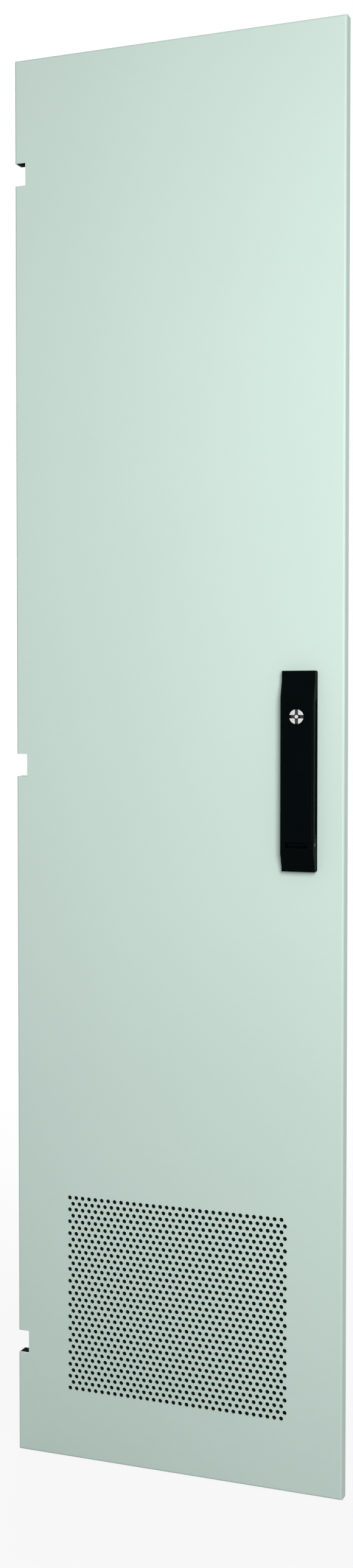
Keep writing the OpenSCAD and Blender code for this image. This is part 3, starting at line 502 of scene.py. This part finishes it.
# %% Turned shapes
def turned(shape, rings, steps, closed=False):
    """Adds rings about Y to a bmesh. A ring is a place along Y and a radius, or rules of the angle."""
    loops = []
    for along, radius in rings:
        loop = []
        for step in range(steps):
            angle = math.tau * step / steps
            reach = radius(angle) if callable(radius) else radius
            place = along(angle) if callable(along) else along
            loop.append(shape.verts.new((reach * math.cos(angle), place, reach * math.sin(angle))))
        loops.append(loop)
    pairs = list(zip(loops, loops[1:])) + ([(loops[-1], loops[0])] if closed else [])
    for first, second in pairs:
        for step in range(steps):
            after = (step + 1) % steps
            shape.faces.new((first[step], first[after], second[after], second[step]))
    if not closed:
        shape.faces.new(loops[0])
        shape.faces.new(loops[-1])
    bmesh.ops.recalc_face_normals(shape, faces=shape.faces)
    return shape


def six_sided(across):
    """The radius of a hexagon, across its flats, at an angle."""
    return lambda angle: across / 2 / math.cos(angle % (math.pi / 3) - math.pi / 6)


def cross_shaped(arm, half_width):
    """The radius of a cross recess at an angle."""
    def radius(angle):
        off = abs((angle + math.pi / 4) % (math.pi / 2) - math.pi / 4)
        return min(arm, half_width / max(math.sin(off), 1e-3))
    return radius


def thread(shape, long, diameter, pitch):
    """A threaded bar: the radius rises and falls along a helix, and the back end is chamfered."""
    depth = 0.6 * pitch
    chamfer = 1.2 * depth
    rows_per_turn = 4
    rows = math.ceil(long / pitch * rows_per_turn)
    rings = []
    for row in range(rows + 1):
        along = long * row / rows
        room = diameter / 2 - max(0, along - (long - chamfer))

        def radius(angle, along=along, room=room):
            turn = (along / pitch - angle / math.tau) % 1
            return min(room, diameter / 2 - depth * (1 - abs(2 * turn - 1)))
        rings.append((along, radius))
    turned(shape, rings, steps=16)


def hex_nut(shape, thick, across, bore):
    """A nut with a cone on both faces, which leaves arcs on its six sides."""
    side = six_sided(across)
    face = across / 2 * 0.95                # the flat ring that the cone leaves on each face
    slope = math.tan(math.radians(30))
    lead = 0.07 * across / 2                # the bore's own chamfer
    turned(shape, [
        (0, bore / 2 + lead), (0, face), (lambda a: (side(a) - face) * slope, side),
        (lambda a: thick - (side(a) - face) * slope, side), (thick, face), (thick, bore / 2 + lead),
        (thick - lead, bore / 2), (lead, bore / 2),
    ], steps=36, closed=True)


def pan_head(shape, front, diameter, height, recess, depth):
    """A low domed screw head with a driver recess."""
    reach = diameter / 2
    back = front + height
    turned(shape, [
        (front, reach * 0.97), (front + 0.08 * height, reach), (front + 0.5 * height, reach),
        (front + 0.8 * height, reach * 0.93), (front + 0.95 * height, reach * 0.8), (back, reach * 0.62),
        (back, lambda a: recess(a) * 1.06), (back - 0.1 * depth, recess),
        (back - 0.8 * depth, lambda a: recess(a) * 0.85), (back - depth, lambda a: recess(a) * 0.3),
    ], steps=48)


# %% A tree that sets copies on points
def tree_input(tree, name):
    """The identifier of a tree's input, which a modifier needs to set it."""
    return next(item.identifier for item in tree.interface.items_tree
                if item.item_type == "SOCKET" and item.in_out == "INPUT" and item.name == name)


def copies_tree():
    """Geometry Nodes: one copy of the Shape object on each point, made real, in the Finish."""
    tree = bpy.data.node_groups.new("copies_on_points", "GeometryNodeTree")
    tree.interface.new_socket("Points", in_out="INPUT", socket_type="NodeSocketGeometry")
    tree.interface.new_socket("Shape", in_out="INPUT", socket_type="NodeSocketObject")
    tree.interface.new_socket("Finish", in_out="INPUT", socket_type="NodeSocketMaterial")
    tree.interface.new_socket("Copies", in_out="OUTPUT", socket_type="NodeSocketGeometry")
    source = tree.nodes.new("NodeGroupInput")
    result = tree.nodes.new("NodeGroupOutput")
    shape = tree.nodes.new("GeometryNodeObjectInfo")
    copies = tree.nodes.new("GeometryNodeInstanceOnPoints")
    real = tree.nodes.new("GeometryNodeRealizeInstances")
    coat = tree.nodes.new("GeometryNodeSetMaterial")
    tree.links.new(source.outputs["Shape"], shape.inputs["Object"])
    tree.links.new(source.outputs["Points"], copies.inputs["Points"])
    tree.links.new(shape.outputs["Geometry"], copies.inputs["Instance"])
    tree.links.new(copies.outputs["Instances"], real.inputs["Geometry"])
    tree.links.new(real.outputs["Geometry"], coat.inputs["Geometry"])
    tree.links.new(source.outputs["Finish"], coat.inputs["Material"])
    tree.links.new(coat.outputs["Geometry"], result.inputs["Copies"])
    return tree


COPIES = copies_tree()
SHARP_ANGLE = math.radians(40)
print("copies tree,", len(COPIES.nodes), "nodes")


def set_on(points, shape, name, body, slot):
    """Copies a small shape to every point; the result is one plain mesh that rides on a body."""
    template = bpy.data.objects.new(name + "_shape", bpy.data.meshes.new(name + "_shape"))
    shape.to_mesh(template.data)
    shape.free()
    template.data.shade_smooth()
    template.data.set_sharp_from_angle(angle=SHARP_ANGLE)
    mesh = bpy.data.meshes.new(name)
    mesh.from_pydata([tuple(point) for point in points], [], [])
    piece = bpy.data.objects.new(name, mesh)
    for thing in (template, piece):
        scene.collection.objects.link(thing)
    copies = piece.modifiers.new("copies", "NODES")
    copies.node_group = COPIES
    copies[tree_input(COPIES, "Shape")] = template
    copies[tree_input(COPIES, "Finish")] = FINISHES[slot]
    settle(piece)
    bpy.data.objects.remove(template)
    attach(piece, body)
    print(name, len(points), "copies,", len(piece.data.polygons), "faces")
    return piece


# %% Nuts, threaded studs and screws
def stand_for(node_name, draw, sizes):
    """Replaces each solid of a node by a copy of one shape, drawn as long as the first solid is."""
    boxes = solids_of(node_name)
    low, high = boxes[0]
    shape = bmesh.new()
    draw(shape, high.y - low.y, *sizes)
    piece = set_on([foot_of(box) for box in boxes], shape, "fine_" + node_name, BODY_OF[node_name],
                   SLOT_OF[node_name])
    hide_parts(node_name)


def screw(shape, long, diameter, pitch, head, high, recess, depth):
    """A screw along Y with its head at the back end."""
    thread(shape, long - high, diameter, pitch)
    pan_head(shape, long - high, head, high, recess, depth)


# across the flats, bore
NUTS = {"filter_nuts": (0.007, 0.0041), "guide_nuts": (0.008, 0.0051), "earth_nut": (0.010, 0.0061)}
# diameter, pitch
STUDS = {"filter_studs": (0.004, 0.0007), "guide_studs": (0.005, 0.0008), "earth_stud": (0.006, 0.001)}
# diameter, pitch, the head's diameter and height, its recess and the depth of that
SCREWS = {
    "base_screw": (0.0042, 0.0007, 0.0085, 0.003, cross_shaped(0.0022, 0.00042), 0.0016),
    "cover_screws": (0.0025, 0.00045, 0.0056, 0.0018, cross_shaped(0.0015, 0.0003), 0.0011),
    "cam_screw": (0.0024, 0.00045, 0.0084, 0.0011, cross_shaped(0.0016, 0.00035), 0.0008),
    "latch_screw": (0.0041, 0.0007, 0.0085, 0.003, six_sided(0.004), 0.0017),
}
for draw, kinds in ((hex_nut, NUTS), (thread, STUDS), (screw, SCREWS)):
    for name, sizes in kinds.items():
        stand_for(name, draw, sizes)

# %% [markdown]
# The rail and the stiffeners are spot-welded to the leaf. A spot weld leaves a small round crater in the
# zinc, with a raised lip. Nobody counts them, but their even rhythm tells the eye that this is pressed
# steel. They are low turned discs, set on points along both flanges.

# %% Spot welds
WELD_REACH = 0.0025                 # a crater's radius
WELD_PITCH = 0.070
WELD_IN = 0.022                     # from a rail's end to its first weld
FLANGE_BACK = leaf_low.y + 0.003    # behind the leaf's skin and the flange that lies on it
CROWN = 0.014                       # the raised middle between two flanges

weld_points = []
for name in ("upright_rail", "cross_stiffener_1", "cross_stiffener_2", "cross_stiffener_3"):
    low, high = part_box(name)
    along = 2 if name == "upright_rail" else 0
    aside = 0 if name == "upright_rail" else 2
    length = high[along] - low[along] - 2 * WELD_IN
    count = round(length / WELD_PITCH)
    middle = (low[aside] + high[aside]) / 2
    flange = ((high[aside] - low[aside]) / 2 + CROWN / 2) / 2
    for side in (-1, 1):
        for step in range(count + 1):
            point = Vector((0, FLANGE_BACK, 0))
            point[along] = low[along] + WELD_IN + length * step / count
            point[aside] = middle + side * flange
            weld_points.append(point)
# height above the flange, share of the radius
CRATER = ((-0.0003, 1), (0.00002, 1), (0.00016, 0.86), (0.00016, 0.74), (0.00005, 0.62), (0.00003, 0.2))
crater = turned(bmesh.new(), [(height, WELD_REACH * share) for height, share in CRATER], steps=16)
set_on(weld_points, crater, "spot_welds", BODY_OF["upright_rail"], "zinc_sheet")

# %% [markdown]
# The seal is foam poured as a bead on the inside of the leaf, so its back is domed and its width wanders
# a little. A curve with a round bevel would have the wrong section, since the bead is flat where it
# sticks. So a rounded rectangle is walked once, with a section across it at each step.

# %% Foam seal
seal_low, seal_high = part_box("foam_seal")
BEAD_WIDTH = 0.010
BEAD_HEIGHT = seal_high.y - seal_low.y
BEAD_CORNER = 0.012
STEP = 0.012
WANDER = 0.00022
WIDTH_RATE = 9          # cells of noise to a metre, for the width and for the height
HEIGHT_RATE = 14
APART = Vector((5, 0, 0))       # so that the height doesn't wander with the width
SKIN = 0.0003           # how far the bead stays inside its solid
CORNER_PARTS = 8
SECTION_POINTS = 11
DOME = 0.55             # 1 is a round back, less is flatter
SOFT_ANGLE = math.radians(50)


def rounded_path(low, high, corner, step):
    """Points and outward directions round a rectangle in the XZ plane with round corners."""
    path = []
    centres = [(high.x - corner, high.z - corner, 0), (low.x + corner, high.z - corner, 90),
               (low.x + corner, low.z + corner, 180), (high.x - corner, low.z + corner, 270)]
    for index, (x, z, start) in enumerate(centres):
        for part in range(CORNER_PARTS + 1):
            angle = math.radians(start + part * 90 / CORNER_PARTS)
            outward = Vector((math.cos(angle), 0, math.sin(angle)))
            path.append((Vector((x, 0, z)) + outward * corner, outward))
        after = centres[(index + 1) % 4]
        angle = math.radians(after[2])
        outward = Vector((math.cos(angle), 0, math.sin(angle)))
        begin = path[-1][0]
        end = Vector((after[0], 0, after[1])) + outward * corner
        count = int((end - begin).length / step)
        for part in range(1, count):
            path.append((begin.lerp(end, part / count), outward))
    return path


bead = bmesh.new()
sections = []
half = BEAD_WIDTH / 2
inset = Vector((half, 0, half))
for point, outward in rounded_path(seal_low + inset, seal_high - inset, BEAD_CORNER, STEP):
    wander = noise.noise(point * WIDTH_RATE) * WANDER
    swell = noise.noise(point * HEIGHT_RATE + APART) * WANDER
    section = []
    for part in range(SECTION_POINTS):
        angle = math.pi * part / (SECTION_POINTS - 1)
        across = math.cos(angle) * (half - SKIN + wander)
        rise = (BEAD_HEIGHT - SKIN + swell) * math.sin(angle) ** DOME
        section.append(bead.verts.new(point + outward * across + Vector((0, seal_low.y + rise, 0))))
    sections.append(section)
for index, section in enumerate(sections):
    after = sections[(index + 1) % len(sections)]
    for part in range(SECTION_POINTS):
        following = (part + 1) % SECTION_POINTS
        bead.faces.new((section[part], section[following], after[following], after[part]))
bmesh.ops.recalc_face_normals(bead, faces=bead.faces)
seal = piece_from(bead, "seal_bead", BODY_OF["foam_seal"], "foam")
seal.data.shade_smooth()
seal.data.set_sharp_from_angle(angle=SOFT_ANGLE)
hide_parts("foam_seal")
print("seal bead", len(seal.data.polygons), "faces")

# %% [markdown]
# The filter mat is a black fleece behind the vent, and its near-black colour is partly painted shade for
# the vent holes. Its frame clamps it, and it swells a little through the frame's three windows. A cloth
# simulation could blow it up, but for less than a millimetre a rule is enough: two fine grids joined round
# their rim, the back one raised by a sine and by noise for the fuzz.

# %% Filter fleece
mat_low, mat_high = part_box("filter_mat")
CELL = 0.004
LAP = 0.008             # how far the frame's rim covers the mat
BAR = 0.012             # width of the frame's two bars
SWELL = 0.0008
SWELL_RUN = 0.018       # the swelling reaches its full height this far into a window
FUZZ = 0.00022
FUZZ_RATE = 160         # cells of noise to a metre
TUCK = 0.00005          # how far the back stays inside its solid where it is flat

fleece_width = mat_high.x - mat_low.x
window_width = (fleece_width - 2 * LAP - 2 * BAR) / 3
window_height = mat_high.z - mat_low.z - 2 * LAP
columns = round(fleece_width / CELL)
rows = round((mat_high.z - mat_low.z) / CELL)


def swelling(x, z):
    """How far the fleece bulges at a place: nothing under the frame and its bars, most in a window."""
    inside = x - mat_low.x - LAP
    across = inside - math.floor(inside / (window_width + BAR)) * (window_width + BAR)
    up = z - mat_low.z - LAP
    if not (0 < inside < fleece_width - 2 * LAP and 0 < across < window_width and 0 < up < window_height):
        return 0
    edge = min(across, window_width - across, up, window_height - up)
    return SWELL * math.sin(min(1, edge / SWELL_RUN) * math.pi / 2)


fleece = bmesh.new()
sheets = []
for back in (False, True):
    sheet = []
    for row in range(rows + 1):
        z = mat_low.z + (mat_high.z - mat_low.z) * row / rows
        line = []
        for column in range(columns + 1):
            x = mat_low.x + fleece_width * column / columns
            y = mat_low.y
            if back:
                bulge = swelling(x, z)
                fuzz = noise.noise(Vector((x, 3, z)) * FUZZ_RATE) * FUZZ if bulge else 0
                y = mat_high.y - TUCK + bulge + fuzz
            line.append(fleece.verts.new((x, y, z)))
        sheet.append(line)
    for row in range(rows):
        for column in range(columns):
            fleece.faces.new((sheet[row][column], sheet[row][column + 1],
                              sheet[row + 1][column + 1], sheet[row + 1][column]))
    sheets.append(sheet)
rim = [
    [(0, column) for column in range(columns + 1)],
    [(row, columns) for row in range(rows + 1)],
    [(rows, columns - column) for column in range(columns + 1)],
    [(rows - row, 0) for row in range(rows + 1)],
]
for side in rim:
    for (row, column), (next_row, next_column) in zip(side, side[1:]):
        fleece.faces.new((sheets[0][row][column], sheets[0][next_row][next_column],
                          sheets[1][next_row][next_column], sheets[1][row][column]))
bmesh.ops.recalc_face_normals(fleece, faces=fleece.faces)
mat = piece_from(fleece, "filter_fleece", BODY_OF["filter_mat"], "filter_fleece")
mat.data.shade_smooth()
mat.data.set_sharp_from_angle(angle=SOFT_ANGLE)
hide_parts("filter_mat")
print("fleece", len(mat.data.polygons), "faces")
